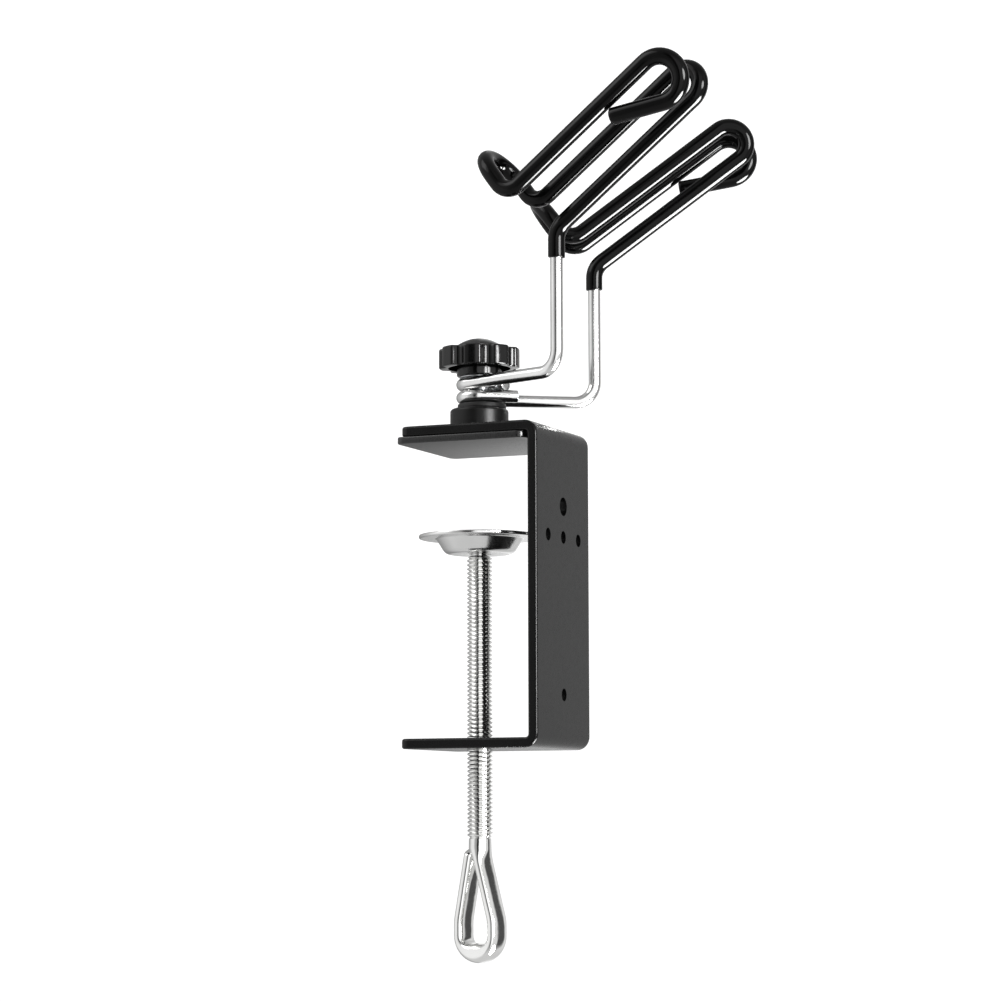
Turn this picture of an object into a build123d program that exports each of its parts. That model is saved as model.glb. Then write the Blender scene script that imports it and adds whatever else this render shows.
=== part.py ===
from build123d import *
import math
import os

# Clamp-on bench stand for two airbrushes, in millimetres with +Z up.
# The origin is on the axis shared by the clamp screw and the pivot bolt, on the underside
# of the upper jaw's pad. +X points to the frame's upright web, +Y to the far side.

# ---- driving dimensions -------------------------------------------------------------

# bent steel frame
FRAME_HEIGHT = 76.0
STRIP_WIDTH = 33.0
STRIP_THICKNESS = 2.4
BEND_INNER_RADIUS = 0.8
ARM_LENGTH = 35.0          # outer face of the web to the arm's free end
AXIS_TO_WEB = 21.6         # screw axis to the outer face of the web
ARM_CORNER_RADIUS = 2.0
EDGE_ROUND = 0.6

# holes in the web, measured down from the top of the frame
WEB_LARGE_HOLE_RADIUS = 2.2
WEB_SMALL_HOLE_RADIUS = 1.5
WEB_LARGE_HOLE_DROP = 19.0
WEB_ROW_DROP = 26.3
WEB_ROW_SPACING = 9.4
WEB_LOW_HOLE_DROP = 63.4

# pad glued under the upper arm
JAW_PAD_THICKNESS = 1.7
JAW_PAD_OVERHANG = 1.2     # past the arm's free end
JAW_PAD_WEB_GAP = 0.9

# pivot bolt and what is stacked on it
BOLT_RADIUS = 2.5
BOLT_HEAD_RADIUS = 4.6
BOLT_HEAD_HEIGHT = 2.1
BOLT_TOP = 21.2
NUT_ACROSS_FLATS = 8.0
NUT_HEIGHT = 4.0
COLLAR_RADIUS = 7.0
COLLAR_HEIGHT = 5.4
COLLAR_CAVITY_RADIUS = 5.4
COLLAR_TOP_WALL = 1.2
COLLAR_ROUND = 0.8
WASHER_RADIUS = 5.8
WASHER_BORE_RADIUS = 3.2
WASHER_HEIGHT = 1.2
WASHER_SHIFT = (0.55, 0.24)  # it lies off the bolt's axis, pressed to one side

# holder wires
WIRE_RADIUS = 1.5
SLEEVE_RADIUS = 2.0
LOOP_RADIUS = 4.05         # centreline of the open loop round the bolt
STACK_GAP = 0.08           # running gap between the loosened pieces on the bolt
LOOP_GAP = 0.15            # between the two loops
ARM_REACH = 29.2           # bolt axis to the upright stem
STEM_HEIGHT = 33.3         # arm centreline to the corner under the cradle
CRADLE_ELEVATION = 36.7    # degrees above level
CRADLE_TOE_IN = 14.0       # degrees that the cradle turns in from the arm's direction
HAIRPIN_WIDTH = 8.7
HAIRPIN_TILT = -6.8        # degrees, out of the vertical plane
RUN_UP = 48.8
RUN_DOWN = 49.8
SADDLE_REACH = 13.4        # how far the U-shaped saddle stands out from the runs
SADDLE_WIDTH = 13.8
RUN_LAST = 44.8
HOOK_RADIUS = 5.25
HOOK_TURN = 208.0          # degrees
HOOK_TILT = -10.5          # degrees
HOOK_TAIL = 12.5
ELBOW_RADIUS = 5.0
FOOT_RADIUS = 4.0          # bends between the runs and the saddle
SLEEVE_CAP = 0.6           # coating over the wire's cut end
FIT_GAP = 0.02             # around pieces that are fixed together

# each holder: side of the arm (+1 far, -1 near), direction, straight end of its loop, and
# height of the sleeve's lower end above the arm centreline
HOLDERS = {
    "lower_holder": {"side": 1, "azimuth": 33.5, "loop_end": 8.6, "sleeve_start": 27.6},
    "upper_holder": {"side": -1, "azimuth": -20.6, "loop_end": 5.0, "sleeve_start": 26.4},
}

# clamping knob
KNOB_WASHER_RADIUS = 4.8
KNOB_WASHER_HEIGHT = 0.3
KNOB_RADIUS = 9.7
KNOB_LOBES = 8
KNOB_LOBE_AZIMUTH = 13.2   # degrees, first lobe
KNOB_SCALLOP_RADIUS = 1.7
KNOB_SCALLOP_CENTRE = 10.1
KNOB_RIM_HEIGHT = 4.8
KNOB_HUB_RADIUS = 5.4
KNOB_HUB_HEIGHT = 2.0
KNOB_RECESS_RADIUS = 7.5
KNOB_RECESS_DEPTH = 3.0
KNOB_DOME_RADIUS = 6.2
KNOB_DOME_HEIGHT = 2.5
INSERT_RADIUS = 3.4
INSERT_HEIGHT = 5.2
INSERT_BORE_DEPTH = 4.2
INSERT_BORE_RADIUS = 2.55

# clamp screw, M6 x 1, with a bent eye for the fingers
SCREW_RADIUS = 3.0
SCREW_BORE_RADIUS = 3.05
SCREW_SHOULDER = -25.8
SCREW_SHANK_END = -95.0
SCREW_NECK_RADIUS = 2.0
SCREW_HEAD_RADIUS = 3.0
SCREW_HEAD_HEIGHT = 1.1
EYE_AZIMUTH = -15.7        # degrees, plane of the eye
EYE_THICKNESS = 2.6
EYE_DEPTH = 5.8
EYE_ROUND = 0.9
EYE_HALF_WIDTH = 5.05      # centreline
EYE_BOTTOM = -120.6        # centreline
EYE_SHOULDER = -112.0      # where the strands turn in
EYE_CORNER_RADIUS = 5.0    # centreline
EYE_HEEL_TOP = -117.2      # the strap is thicker at the bottom of the eye
EYE_HEEL_DEPTH = 4.4
EYE_ROOT_OFFSET = 0.9      # strand under the shank, off the axis
EYE_ROOT_TOP = -95.6       # inside the wedge at the shank's end
EYE_ROOT_BOTTOM = -98.2
EYE_END_OFFSET = -1.75     # cut end of the other strand
EYE_END_HEIGHT = -95.6

# swivelling pressure pad
PAD_RIM_TOP = -20.8
PAD_RIM_RADIUS = 14.5
PAD_SHEET = 0.9
PAD_CUP_RADIUS = 10.4      # where the rim turns down
PAD_FLOOR_RADIUS = 8.1
PAD_BOTTOM = -25.4
PAD_BEND_RADIUS = 1.6
PAD_HOLE_RADIUS = 2.6
RETAINER_RADIUS = 4.2
RETAINER_HEIGHT = 0.8
RETAINER_LIFT = 0.35       # above the cup's floor, so that the pad can tilt
RETAINER_HEAD_GAP = 0.1

# ---- derived levels -----------------------------------------------------------------

ARM_TOP = JAW_PAD_THICKNESS + STRIP_THICKNESS
FRAME_BOTTOM = ARM_TOP - FRAME_HEIGHT
COLLAR_TOP = ARM_TOP + COLLAR_HEIGHT
WASHER_TOP = COLLAR_TOP + WASHER_HEIGHT
LOWER_LOOP = WASHER_TOP + STACK_GAP + WIRE_RADIUS
UPPER_LOOP = LOWER_LOOP + 2 * WIRE_RADIUS + LOOP_GAP
KNOB_WASHER_BOTTOM = UPPER_LOOP + WIRE_RADIUS + STACK_GAP
KNOB_BOTTOM = KNOB_WASHER_BOTTOM + KNOB_WASHER_HEIGHT + STACK_GAP
KNOB_RIM_BOTTOM = KNOB_BOTTOM + KNOB_HUB_HEIGHT
KNOB_RIM_TOP = KNOB_RIM_BOTTOM + KNOB_RIM_HEIGHT
RETAINER_BOTTOM = PAD_BOTTOM + PAD_SHEET + RETAINER_LIFT
LOOP_LEVELS = {"lower_holder": LOWER_LOOP, "upper_holder": UPPER_LOOP}

parts = {}


def ring(outer, inner, bottom, height):
    """A flat washer or tube about the Z axis."""
    tube = Cylinder(outer, height) - Cylinder(inner, 2 * height)
    return Pos(0, 0, bottom + height / 2) * tube


def disc(radius, bottom, height):
    return Pos(0, 0, bottom + height / 2) * Cylinder(radius, height)


def bent_path(corners, radii):
    """Straight runs joined by tangent arcs, one radius for each inner corner."""
    edges = []
    start = corners[0]
    for before, corner, after, radius in zip(corners, corners[1:], corners[2:], radii):
        back = (before - corner).normalized()
        onward = (after - corner).normalized()
        half = math.radians(back.get_angle(onward)) / 2
        setback = radius / math.tan(half)
        crown = radius / math.sin(half) - radius
        arc_start = corner + back * setback
        arc_end = corner + onward * setback
        if (arc_start - start).length > 1e-4:
            edges.append(Edge.make_line(start, arc_start))
        middle = corner + (back + onward).normalized() * crown
        edges.append(Edge.make_three_point_arc(arc_start, middle, arc_end))
        start = arc_end
    edges.append(Edge.make_line(start, corners[-1]))
    return Wire(edges)


def rod(path, radius):
    """A round bar swept along a bent path."""
    section = Plane(origin=path @ 0, z_dir=path % 0) * Circle(radius)
    return sweep(section, path=path)


# ---- frame --------------------------------------------------------------------------


def make_bracket():
    outer_radius = BEND_INNER_RADIUS + STRIP_THICKNESS
    web = AXIS_TO_WEB
    tip = web - ARM_LENGTH
    with BuildSketch(Plane.XZ) as side:
        with BuildLine():
            FilletPolyline(
                (tip, ARM_TOP), (web, ARM_TOP), (web, FRAME_BOTTOM), (tip, FRAME_BOTTOM),
                radius=outer_radius,
            )
            Line((tip, FRAME_BOTTOM), (tip, FRAME_BOTTOM + STRIP_THICKNESS))
            FilletPolyline(
                (tip, FRAME_BOTTOM + STRIP_THICKNESS),
                (web - STRIP_THICKNESS, FRAME_BOTTOM + STRIP_THICKNESS),
                (web - STRIP_THICKNESS, ARM_TOP - STRIP_THICKNESS),
                (tip, ARM_TOP - STRIP_THICKNESS),
                radius=BEND_INNER_RADIUS,
            )
            Line((tip, ARM_TOP - STRIP_THICKNESS), (tip, ARM_TOP))
        make_face()
    strip = extrude(side.sketch, STRIP_WIDTH / 2, both=True)
    tip_edges = strip.edges().filter_by(Axis.Z).group_by(Axis.X)[0]
    strip = fillet(tip_edges, ARM_CORNER_RADIUS)
    rims = strip.faces().filter_by(Axis.Y)
    strip = fillet(rims.edges(), EDGE_ROUND)

    recess_gap = 3 * FIT_GAP
    head_cone = Cone(BOLT_HEAD_RADIUS + recess_gap, BOLT_RADIUS + recess_gap, BOLT_HEAD_HEIGHT)
    strip -= Pos(0, 0, JAW_PAD_THICKNESS + BOLT_HEAD_HEIGHT / 2) * head_cone
    strip -= disc(BOLT_RADIUS + FIT_GAP, JAW_PAD_THICKNESS, 2 * STRIP_THICKNESS)
    strip -= disc(SCREW_BORE_RADIUS, FRAME_BOTTOM - STRIP_THICKNESS, 3 * STRIP_THICKNESS)
    for radius, across, drop in web_holes():
        hole = Rot(0, 90, 0) * Cylinder(radius, 3 * STRIP_THICKNESS)
        strip -= Pos(web, across, ARM_TOP - drop) * hole
    return strip


def web_holes():
    """Radius, Y position and distance below the frame's top of each hole in the web."""
    holes = [(WEB_LARGE_HOLE_RADIUS, 0, WEB_LARGE_HOLE_DROP)]
    for step in (-1, 0, 1):
        holes.append((WEB_SMALL_HOLE_RADIUS, step * WEB_ROW_SPACING, WEB_ROW_DROP))
    holes.append((WEB_SMALL_HOLE_RADIUS, 0, WEB_LOW_HOLE_DROP))
    return holes


def make_jaw_pad():
    start = AXIS_TO_WEB - ARM_LENGTH - JAW_PAD_OVERHANG
    end = AXIS_TO_WEB - STRIP_THICKNESS - JAW_PAD_WEB_GAP
    sheet = Pos((start + end) / 2, 0, JAW_PAD_THICKNESS / 2) * Box(
        end - start, STRIP_WIDTH, JAW_PAD_THICKNESS
    )
    return fillet(sheet.edges().filter_by(Axis.Z), ARM_CORNER_RADIUS)


def make_pivot_bolt():
    head_bottom = JAW_PAD_THICKNESS + FIT_GAP
    head = Cone(BOLT_HEAD_RADIUS, BOLT_RADIUS, BOLT_HEAD_HEIGHT)
    shank = disc(BOLT_RADIUS, head_bottom, BOLT_TOP - head_bottom)
    tip_edge = shank.edges().sort_by(Axis.Z)[-1]
    return chamfer(tip_edge, 0.5) + Pos(0, 0, head_bottom + BOLT_HEAD_HEIGHT / 2) * head


def make_bolt_nut():
    hexagon = RegularPolygon(NUT_ACROSS_FLATS / 2, 6, major_radius=False)
    nut = Pos(0, 0, ARM_TOP) * extrude(hexagon, NUT_HEIGHT)
    return nut - disc(BOLT_RADIUS + FIT_GAP, ARM_TOP - 1, NUT_HEIGHT + 2)


def make_spacer_collar():
    collar = disc(COLLAR_RADIUS, ARM_TOP, COLLAR_HEIGHT)
    collar = fillet(collar.edges().sort_by(Axis.Z)[-1], COLLAR_ROUND)
    collar -= disc(COLLAR_CAVITY_RADIUS, ARM_TOP, COLLAR_HEIGHT - COLLAR_TOP_WALL)
    return collar - disc(BOLT_RADIUS + FIT_GAP, ARM_TOP, COLLAR_HEIGHT + 1)


def make_friction_washer():
    washer = ring(WASHER_RADIUS, WASHER_BORE_RADIUS, COLLAR_TOP, WASHER_HEIGHT)
    rim = washer.edges().filter_by(GeomType.CIRCLE).sort_by(SortBy.RADIUS)[-2:]
    return Pos(*WASHER_SHIFT, 0) * fillet(rim, 0.3)


# ---- holders ------------------------------------------------------------------------


def holder_corners(side, level, loop_end):
    """Corner points and bend radii of one holder's wire, with its arm along +X."""
    toe = math.radians(-side * CRADLE_TOE_IN)
    rise = math.radians(CRADLE_ELEVATION)
    run = Vector(math.cos(toe) * math.cos(rise), math.sin(toe) * math.cos(rise), math.sin(rise))
    across = Vector(-math.sin(toe), math.cos(toe), 0)
    above = run.cross(across)
    outward = across * side

    tilt = math.radians(HAIRPIN_TILT)
    hairpin = above * math.cos(tilt) + outward * math.sin(tilt)
    tilt = math.radians(HOOK_TILT)
    curl = outward * math.sin(tilt) - above * math.cos(tilt)
    step = math.radians(HOOK_TURN) / 2
    setback = HOOK_RADIUS * math.tan(step / 2)

    elbow = Vector(ARM_REACH, side * LOOP_RADIUS, level)
    stem_top = elbow + Vector(0, 0, STEM_HEIGHT)
    hairpin_start = stem_top + run * RUN_UP
    hairpin_end = hairpin_start + hairpin * HAIRPIN_WIDTH
    foot = hairpin_end - run * RUN_DOWN
    saddle = foot + above * SADDLE_REACH
    far_saddle = saddle + outward * SADDLE_WIDTH
    far_foot = foot + outward * SADDLE_WIDTH
    hook = far_foot + run * (RUN_LAST + setback)
    hook_back = hook + (run * math.cos(step) + curl * math.sin(step)) * 2 * setback
    tail = run * math.cos(2 * step) + curl * math.sin(2 * step)

    corners = [
        Vector(loop_end, -side * LOOP_RADIUS, level),
        Vector(-LOOP_RADIUS, -side * LOOP_RADIUS, level),
        Vector(-LOOP_RADIUS, side * LOOP_RADIUS, level),
        elbow, stem_top, hairpin_start, hairpin_end, foot, saddle, far_saddle, far_foot,
        hook, hook_back, hook_back + tail * (setback + HOOK_TAIL),
    ]
    radii = [
        LOOP_RADIUS, LOOP_RADIUS, ELBOW_RADIUS, ELBOW_RADIUS,
        HAIRPIN_WIDTH / 2, HAIRPIN_WIDTH / 2, FOOT_RADIUS,
        SADDLE_WIDTH / 2, SADDLE_WIDTH / 2, FOOT_RADIUS, HOOK_RADIUS, HOOK_RADIUS,
    ]
    return corners, radii


def make_holder(name):
    """The bare wire and the dipped sleeve over its cradle."""
    settings = HOLDERS[name]
    corners, radii = holder_corners(settings["side"], LOOP_LEVELS[name], settings["loop_end"])
    turn = Rot(0, 0, settings["azimuth"])
    wire = rod(bent_path(corners, radii), WIRE_RADIUS)

    sleeve_bottom = corners[3] + Vector(0, 0, settings["sleeve_start"])
    tail_direction = (corners[-1] - corners[-2]).normalized()
    covered = [sleeve_bottom] + corners[4:]
    dipped = covered[:-1] + [covered[-1] + tail_direction * SLEEVE_CAP]
    bored = covered[:-1] + [covered[-1] + tail_direction * FIT_GAP]
    sleeve = rod(bent_path(dipped, radii[3:]), SLEEVE_RADIUS)
    sleeve -= rod(bent_path(bored, radii[3:]), WIRE_RADIUS + FIT_GAP)
    return turn * wire, turn * sleeve


# ---- knob ---------------------------------------------------------------------------


def make_knob_body():
    rim = disc(KNOB_RADIUS, KNOB_RIM_BOTTOM, KNOB_RIM_HEIGHT)
    for lobe in range(KNOB_LOBES):
        azimuth = KNOB_LOBE_AZIMUTH + 360 / KNOB_LOBES * (lobe + 0.5)
        scallop = Pos(KNOB_SCALLOP_CENTRE, 0, KNOB_RIM_BOTTOM + KNOB_RIM_HEIGHT / 2) * Cylinder(
            KNOB_SCALLOP_RADIUS, 2 * KNOB_RIM_HEIGHT
        )
        rim -= Rot(0, 0, azimuth) * scallop
    rim = fillet(rim.edges().filter_by(Axis.Z), 0.8)
    rim = fillet(rim.faces().sort_by(Axis.Z)[-1].edges(), 0.5)
    rim -= ring(KNOB_RECESS_RADIUS, KNOB_HUB_RADIUS, KNOB_RIM_BOTTOM, KNOB_RECESS_DEPTH)
    hub = disc(KNOB_HUB_RADIUS, KNOB_BOTTOM, KNOB_HUB_HEIGHT + KNOB_RECESS_DEPTH)
    dome_sphere = (KNOB_DOME_RADIUS**2 + KNOB_DOME_HEIGHT**2) / (2 * KNOB_DOME_HEIGHT)
    dome = Pos(0, 0, KNOB_RIM_TOP + KNOB_DOME_HEIGHT - dome_sphere) * Sphere(dome_sphere)
    dome &= disc(KNOB_DOME_RADIUS + 1, KNOB_RIM_TOP - 1, KNOB_DOME_HEIGHT + 2)
    socket = disc(INSERT_RADIUS + FIT_GAP, KNOB_BOTTOM, INSERT_HEIGHT + FIT_GAP)
    return rim + hub + dome - socket


def make_knob_insert():
    insert = disc(INSERT_RADIUS, KNOB_BOTTOM, INSERT_HEIGHT)
    return insert - disc(INSERT_BORE_RADIUS, KNOB_BOTTOM, INSERT_BORE_DEPTH)


# ---- clamp screw and pressure pad ---------------------------------------------------


def make_eye():
    """The flattened end of the screw, bent round into a finger eye in the XZ plane."""
    corners = [
        Vector(EYE_ROOT_OFFSET, 0, EYE_ROOT_TOP),
        Vector(EYE_ROOT_OFFSET, 0, SCREW_SHANK_END - 3),
        Vector(EYE_HALF_WIDTH, 0, EYE_SHOULDER),
        Vector(EYE_HALF_WIDTH, 0, EYE_BOTTOM),
        Vector(-EYE_HALF_WIDTH, 0, EYE_BOTTOM),
        Vector(-EYE_HALF_WIDTH, 0, EYE_SHOULDER),
        Vector(EYE_END_OFFSET, 0, EYE_END_HEIGHT),
    ]
    path = bent_path(corners, [6, 8, EYE_CORNER_RADIUS, EYE_CORNER_RADIUS, 8])
    section = Plane(origin=path @ 0, x_dir=(1, 0, 0), z_dir=path % 0)
    section *= RectangleRounded(EYE_THICKNESS, EYE_DEPTH, EYE_ROUND)
    return sweep(section, path=path)


def make_eye_heel():
    """A crescent that fills the bottom of the eye, in the XZ plane."""
    inner_radius = EYE_HALF_WIDTH - EYE_THICKNESS / 2
    crescent = Pos(0, 0, EYE_BOTTOM + EYE_CORNER_RADIUS) * Rot(90, 0, 0) * Cylinder(
        EYE_CORNER_RADIUS, EYE_HEEL_DEPTH
    )
    return crescent - Pos(0, 0, EYE_HEEL_TOP + inner_radius) * Rot(90, 0, 0) * Cylinder(
        inner_radius, EYE_DEPTH
    )


def make_eye_root():
    """The end of the round shank, pressed to a wedge where the flat strand starts."""
    left = EYE_ROOT_OFFSET - EYE_THICKNESS / 2
    right = EYE_ROOT_OFFSET + EYE_THICKNESS / 2
    with BuildSketch(Plane.XZ) as side:
        Polygon(
            (-SCREW_RADIUS, SCREW_SHANK_END), (left, EYE_ROOT_BOTTOM),
            (right, EYE_ROOT_BOTTOM), (SCREW_RADIUS, SCREW_SHANK_END),
            align=None,
        )
    wedge = extrude(side.sketch, SCREW_RADIUS, both=True)
    return wedge & disc(SCREW_RADIUS, EYE_ROOT_BOTTOM - 1, SCREW_SHANK_END - EYE_ROOT_BOTTOM + 2)


def make_clamp_screw():
    head_bottom = RETAINER_BOTTOM + RETAINER_HEIGHT + RETAINER_HEAD_GAP
    shank = disc(SCREW_RADIUS, SCREW_SHANK_END, SCREW_SHOULDER - SCREW_SHANK_END)
    neck = disc(SCREW_NECK_RADIUS, SCREW_SHOULDER - 1, head_bottom + 1.5 - SCREW_SHOULDER)
    head = disc(SCREW_HEAD_RADIUS, head_bottom, SCREW_HEAD_HEIGHT)
    head = fillet(head.edges().sort_by(Axis.Z)[-1], SCREW_HEAD_HEIGHT * 0.7)
    screw = shank + neck + head + make_eye_root() + make_eye() + make_eye_heel()
    return Rot(0, 0, EYE_AZIMUTH) * screw


def make_pressure_pad():
    rim_bottom = PAD_RIM_TOP - PAD_SHEET
    floor_top = PAD_BOTTOM + PAD_SHEET
    inner_cup = PAD_CUP_RADIUS + PAD_SHEET / 2
    with BuildSketch(Plane.XZ) as profile:
        with BuildLine():
            Polyline(
                (PAD_HOLE_RADIUS, PAD_BOTTOM), (PAD_FLOOR_RADIUS, PAD_BOTTOM),
                (PAD_CUP_RADIUS, rim_bottom), (PAD_RIM_RADIUS, rim_bottom),
                (PAD_RIM_RADIUS, PAD_RIM_TOP), (inner_cup - PAD_SHEET, PAD_RIM_TOP),
                (PAD_FLOOR_RADIUS - PAD_SHEET / 2, floor_top), (PAD_HOLE_RADIUS, floor_top),
                close=True,
            )
        make_face()
        fillet(profile.vertices().sort_by(Axis.X)[4:], PAD_SHEET / 3)
        fillet(profile.vertices().sort_by(Axis.X)[2:4], PAD_BEND_RADIUS)
    return revolve(profile.sketch, Axis.Z)


def make_retaining_washer():
    bore = SCREW_NECK_RADIUS + 0.05
    return ring(RETAINER_RADIUS, bore, RETAINER_BOTTOM, RETAINER_HEIGHT)


# ---- write one STEP per piece -------------------------------------------------------

parts["bracket"] = make_bracket()
parts["jaw_pad"] = make_jaw_pad()
parts["pivot_bolt"] = make_pivot_bolt()
parts["bolt_nut"] = make_bolt_nut()
parts["spacer_collar"] = make_spacer_collar()
parts["friction_washer"] = make_friction_washer()
for holder in HOLDERS:
    parts[holder + "_wire"], parts[holder + "_sleeve"] = make_holder(holder)
parts["knob_washer"] = ring(
    KNOB_WASHER_RADIUS, INSERT_BORE_RADIUS, KNOB_WASHER_BOTTOM, KNOB_WASHER_HEIGHT
)
parts["knob_body"] = make_knob_body()
parts["knob_insert"] = make_knob_insert()
parts["clamp_screw"] = make_clamp_screw()
parts["pressure_pad"] = make_pressure_pad()
parts["pad_retaining_washer"] = make_retaining_washer()

os.makedirs("parts", exist_ok=True)
for name, shape in parts.items():
    export_step(shape, f"parts/{name}.step")
    print(name, round(shape.volume, 2), "mm3")
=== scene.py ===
import math
import random

import bmesh
import bpy
from mathutils import Matrix, Vector


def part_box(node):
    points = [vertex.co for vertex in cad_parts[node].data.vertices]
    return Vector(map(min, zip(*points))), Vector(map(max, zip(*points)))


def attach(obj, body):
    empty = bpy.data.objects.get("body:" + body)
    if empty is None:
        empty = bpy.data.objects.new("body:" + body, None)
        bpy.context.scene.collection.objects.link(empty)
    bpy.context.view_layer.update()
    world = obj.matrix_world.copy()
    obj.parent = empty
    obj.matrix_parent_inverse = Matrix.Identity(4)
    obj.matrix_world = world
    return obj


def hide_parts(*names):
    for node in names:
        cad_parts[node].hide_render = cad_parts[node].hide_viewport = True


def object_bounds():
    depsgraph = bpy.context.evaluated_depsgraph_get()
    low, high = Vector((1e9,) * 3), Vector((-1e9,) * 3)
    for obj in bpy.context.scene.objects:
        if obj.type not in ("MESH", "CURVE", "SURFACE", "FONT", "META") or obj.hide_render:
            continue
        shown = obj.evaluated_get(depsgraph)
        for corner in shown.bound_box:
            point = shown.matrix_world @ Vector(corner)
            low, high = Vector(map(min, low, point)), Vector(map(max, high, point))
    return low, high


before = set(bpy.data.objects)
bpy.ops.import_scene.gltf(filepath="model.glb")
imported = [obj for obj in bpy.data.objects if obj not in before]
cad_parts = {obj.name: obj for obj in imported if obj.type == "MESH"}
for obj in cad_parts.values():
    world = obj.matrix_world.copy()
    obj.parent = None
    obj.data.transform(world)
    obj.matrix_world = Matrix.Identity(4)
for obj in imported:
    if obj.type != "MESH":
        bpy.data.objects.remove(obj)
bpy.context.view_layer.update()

# Looks of the clamp-on bench stand for two airbrushes. Lengths are in millimetres, and
# each piece is scaled to metres as it is made; only the stage's lengths are in metres. The
# Z axis is the axis of the clamp screw and the pivot bolt, and +X points to the frame's
# upright web.

MM = 0.001

# ---- sizes that the frame doesn't give ------------------------------------------------

SEGMENTS = 64               # round a turned piece
PAD_SEGMENTS = 96
TUBE_SEGMENTS = 32
ARC_STEP = math.radians(7.5)
AXIS = 0.001                # radius at which a turned profile starts or ends on its axis
CREASE = math.radians(35)   # edges that turn by more stay sharp

# holder wires, as the CAD model routes them
WIRE_RADIUS = 1.5
SLEEVE_RADIUS = 2.0
LOOP_RADIUS = 4.05
ARM_REACH = 29.2
STEM_HEIGHT = 33.3
CRADLE_ELEVATION = math.radians(36.7)
CRADLE_TOE_IN = math.radians(14.0)
HAIRPIN_WIDTH = 8.7
HAIRPIN_TILT = math.radians(-6.8)
RUN_UP = 48.8
RUN_DOWN = 49.8
SADDLE_REACH = 13.4
SADDLE_WIDTH = 13.8
RUN_LAST = 44.8
HOOK_RADIUS = 5.25
HOOK_TURN = math.radians(208.0)
HOOK_TILT = math.radians(-10.5)
HOOK_TAIL = 12.5
ELBOW_RADIUS = 5.0
FOOT_RADIUS = 4.0
WIRE_END_EDGE = 0.25
SLEEVE_CAP = 0.6
SLEEVE_CLEARANCE = 0.01
RIPPLE = 0.03               # the most that a coating's surface sinks
RIPPLE_STEP = 0.006         # the most that this changes from one ring to the next
# sleeve_start is the height of the sleeve's lower end above the arm's centreline
HOLDERS = {
    "lower_holder": {
        "side": 1, "azimuth": math.radians(33.5), "loop_end": 8.6, "sleeve_start": 27.6,
    },
    "upper_holder": {
        "side": -1, "azimuth": math.radians(-20.6), "loop_end": 5.0, "sleeve_start": 26.4,
    },
}

# washers' bores, and the knob insert's
RUBBER_WASHER_BORE = 3.2
STEEL_WASHER_BORE = 2.55
RETAINING_WASHER_BORE = 2.05
INSERT_BORE = 2.55
INSERT_ROOF = 1.0

# knob
KNOB_LOBES = 8
KNOB_RADIUS = 9.7
KNOB_SOCKET_CLEARANCE = 0.02
KNOB_LOBE_AZIMUTH = math.radians(13.2)
VALLEY_RADIUS = 1.7
VALLEY_CENTRE = 10.1
LOBE_ROUND = 0.8
RIM_ROUND = 0.5
RIM_UNDERSIDE_ROUND = 0.3
HUB_RADIUS = 5.4
HUB_HEIGHT = 2.0
RIM_HEIGHT = 4.8
RECESS_RADIUS = 7.5
RECESS_DEPTH = 3.0
DOME_RADIUS = 6.2
DOME_HEIGHT = 2.5
DOME_GROOVE = 0.15          # its depth, round the dome's foot
DOME_GROOVE_WIDTH = 0.5

# threads
SCREW_PITCH = 1.0
BOLT_PITCH = 0.8
THREAD_SEGMENTS = 40
THREAD_ROWS = 8             # in one pitch
THREAD_DEPTH = 0.6          # in pitches
THREAD_CREST = 1.45         # in depths, and cut flat at 1
THREAD_FLANK = 3.1          # fall in depths over one pitch
THREAD_FADE = 0.5           # over which a thread runs out

# clamp screw
SCREW_RADIUS = 3.0
SCREW_HEAD_RADIUS = 3.0
SCREW_HEAD_HEIGHT = 1.1
SCREW_NECK_RADIUS = 2.0
SCREW_ROOT_RADIUS = SCREW_RADIUS - THREAD_DEPTH * SCREW_PITCH
SCREW_SHOULDER = -25.8
THREAD_END = -92.6
SHANK_END = -95.0
SHANK_RADIUS = 2.7

# its finger eye, of flattened wire
EYE_AZIMUTH = math.radians(-15.7)
EYE_THICKNESS = 2.6
EYE_DEPTH = 5.8
EYE_SQUARENESS = 0.7        # 1 gives an ellipse, 0 a rectangle
EYE_HALF_WIDTH = 5.05
EYE_BOTTOM = -120.6
EYE_HEEL_TOP = -117.2
EYE_SHOULDER = -112.0
EYE_ROOT_OFFSET = 0.9
EYE_ROOT_BOTTOM = -98.2
EYE_END_OFFSET = -1.75
EYE_END_HEIGHT = -95.6
EYE_END_SLANT = 0.45        # the cut end faces towards -Y
# the rings that soften its edge: how far each is inset, and how far past the path's end
EYE_END_EDGE = [(0.0, 0.2), (0.08, 0.4), (0.3, 0.5), (0.8, 0.5)]


def radius_and_levels(node):
    """Outer radius, bottom and top of a turned CAD node."""
    low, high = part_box(node)
    return (high.x - low.x) / 2 / MM, low.z / MM, high.z / MM


# ---- mesh helpers ---------------------------------------------------------------------


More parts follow.
